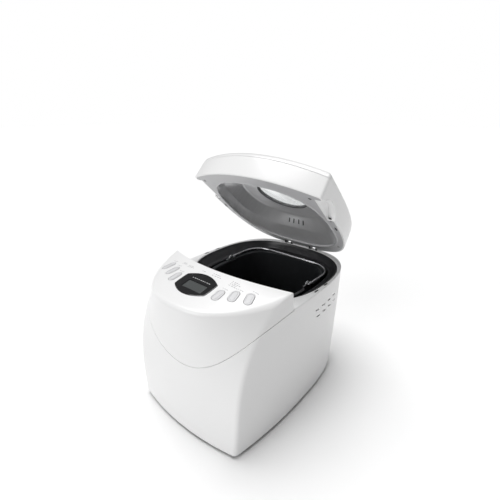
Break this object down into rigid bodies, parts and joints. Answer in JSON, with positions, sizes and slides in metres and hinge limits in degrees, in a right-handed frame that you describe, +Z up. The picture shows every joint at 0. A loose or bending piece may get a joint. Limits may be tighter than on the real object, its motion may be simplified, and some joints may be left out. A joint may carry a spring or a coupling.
{
  "type": "bread machine",
  "caption": "Countertop bread machine with a sloping front control panel, an opening lid with an oval window, and a lift-out non-stick pan with a kneading paddle.",
  "frame": {"origin": "on the table at the centre of the overall box with the lid at its rest angle", "axes": "+Z up, -Y towards the user in front, +X to the right seen from the front"},
  "size_m": [0.27, 0.3852, 0.435],
  "materials": {
    "white_plastic": "white moulded ABS, satin gloss",
    "grey_plastic": "light grey moulding",
    "button_grey": "pale grey button caps",
    "dark_plastic": "dark grey moulding",
    "foot_rubber": "black rubber",
    "trim_black": "black collar",
    "coated_steel": "dark coated sheet",
    "nonstick": "dark non-stick coating",
    "liner_steel": "drawn sheet, satin",
    "sheet_steel": "plain zinc-plated sheet",
    "bright_steel": "bright plated",
    "cast_alloy": "die cast, plain",
    "brass_bush": "sintered bush",
    "element_steel": "heat-darkened sheath",
    "circuit_board": "green board with parts",
    "bezel_black": "gloss black",
    "display_grey": "grey liquid crystal display",
    "window_glass": "clear tempered glass"
  },
  "bodies": {
    "body": {"body_shell": "white_plastic", "front_fascia": "white_plastic", "base_plate": "dark_plastic", "feet": "foot_rubber", "base_screws": "bright_steel", "chassis": "sheet_steel", "chamber_trim": "trim_black", "chamber_liner": "coated_steel", "heating_element": "element_steel", "temperature_sensor": "bright_steel", "thermal_fuse": "white_plastic", "pan_seat": "sheet_steel", "drive_bearing": "cast_alloy", "motor_housing": "sheet_steel", "motor_capacitor": "white_plastic", "power_board": "circuit_board", "transformer": "dark_plastic", "drive_belt": "foot_rubber", "cord_gland": "dark_plastic", "hinge_brackets": "dark_plastic", "hinge_pins": "bright_steel", "display_bezel": "bezel_black", "display_glass": "display_grey", "control_board": "circuit_board", "buzzer": "dark_plastic"},
    "lid": {"lid_shell": "white_plastic", "lid_inner_frame": "grey_plastic", "lid_liner": "liner_steel", "lid_window": "window_glass", "window_trim": "trim_black", "hinge_arms": "grey_plastic", "lid_screws": "bright_steel"},
    "pan": {"bread_pan": "nonstick", "pan_base": "cast_alloy", "pan_bearing": "brass_bush", "pan_ears": "sheet_steel"},
    "pan_handle": {"pan_handle": "bright_steel"},
    "paddle_shaft": {"pan_shaft": "bright_steel", "pan_coupling": "cast_alloy", "kneading_paddle": "nonstick"},
    "spindle": {"drive_spindle": "bright_steel", "drive_pulley": "dark_plastic", "drive_dog": "cast_alloy"},
    "motor_shaft": {"motor_rotor": "bright_steel", "motor_pulley": "cast_alloy", "motor_fan": "dark_plastic"},
    "button_left_1": {"button_left_1": "button_grey"},
    "button_left_2": {"button_left_2": "button_grey"},
    "button_left_3": {"button_left_3": "button_grey"},
    "button_right_1": {"button_right_1": "button_grey"},
    "button_right_2": {"button_right_2": "button_grey"},
    "button_right_3": {"button_right_3": "button_grey"}
  },
  "joints": [
    {"name": "lid_hinge", "type": "hinge", "parent": "body", "child": "lid", "pos_m": [0, 0.16987, 0.236], "axis": [-1, 0, 0], "range_deg": [-42, 38]},
    {"name": "pan_lift", "type": "slide", "parent": "body", "child": "pan", "axis": [0, 0, 1], "range_m": [0, 0.036]},
    {"name": "pan_handle_hinge", "type": "hinge", "parent": "pan", "child": "pan_handle", "pos_m": [0, 0.04137, 0.212], "axis": [1, 0, 0], "range_deg": [0, 180]},
    {"name": "motor_spin", "type": "hinge", "parent": "body", "child": "motor_shaft", "pos_m": [0, -0.13013, 0.08], "axis": [0, 0, 1], "continuous": true},
    {"name": "spindle_spin", "type": "hinge", "parent": "body", "child": "spindle", "pos_m": [0, 0.04137, 0.04], "axis": [0, 0, 1], "continuous": true},
    {"name": "paddle_spin", "type": "hinge", "parent": "pan", "child": "paddle_shaft", "pos_m": [0, 0.04137, 0.08], "axis": [0, 0, 1], "continuous": true},
    {"name": "button_left_1_press", "type": "slide", "parent": "body", "child": "button_left_1", "axis": [0, 0, -1], "range_m": [0, 0.0012], "stiffness_N_per_m": 800, "springref_m": -0.0003},
    {"name": "button_left_2_press", "type": "slide", "parent": "body", "child": "button_left_2", "axis": [0, 0, -1], "range_m": [0, 0.0012], "stiffness_N_per_m": 800, "springref_m": -0.0003},
    {"name": "button_left_3_press", "type": "slide", "parent": "body", "child": "button_left_3", "axis": [0, 0, -1], "range_m": [0, 0.0012], "stiffness_N_per_m": 800, "springref_m": -0.0003},
    {"name": "button_right_1_press", "type": "slide", "parent": "body", "child": "button_right_1", "axis": [0, 0, -1], "range_m": [0, 0.0012], "stiffness_N_per_m": 800, "springref_m": -0.0003},
    {"name": "button_right_2_press", "type": "slide", "parent": "body", "child": "button_right_2", "axis": [0, 0, -1], "range_m": [0, 0.0012], "stiffness_N_per_m": 800, "springref_m": -0.0003},
    {"name": "button_right_3_press", "type": "slide", "parent": "body", "child": "button_right_3", "axis": [0, 0, -1], "range_m": [0, 0.0012], "stiffness_N_per_m": 800, "springref_m": -0.0003}
  ],
  "couplings": [
    {"joint": "spindle_spin", "follows": "motor_spin", "ratio": 0.15},
    {"joint": "paddle_spin", "follows": "motor_spin", "ratio": 0.15}
  ]
}
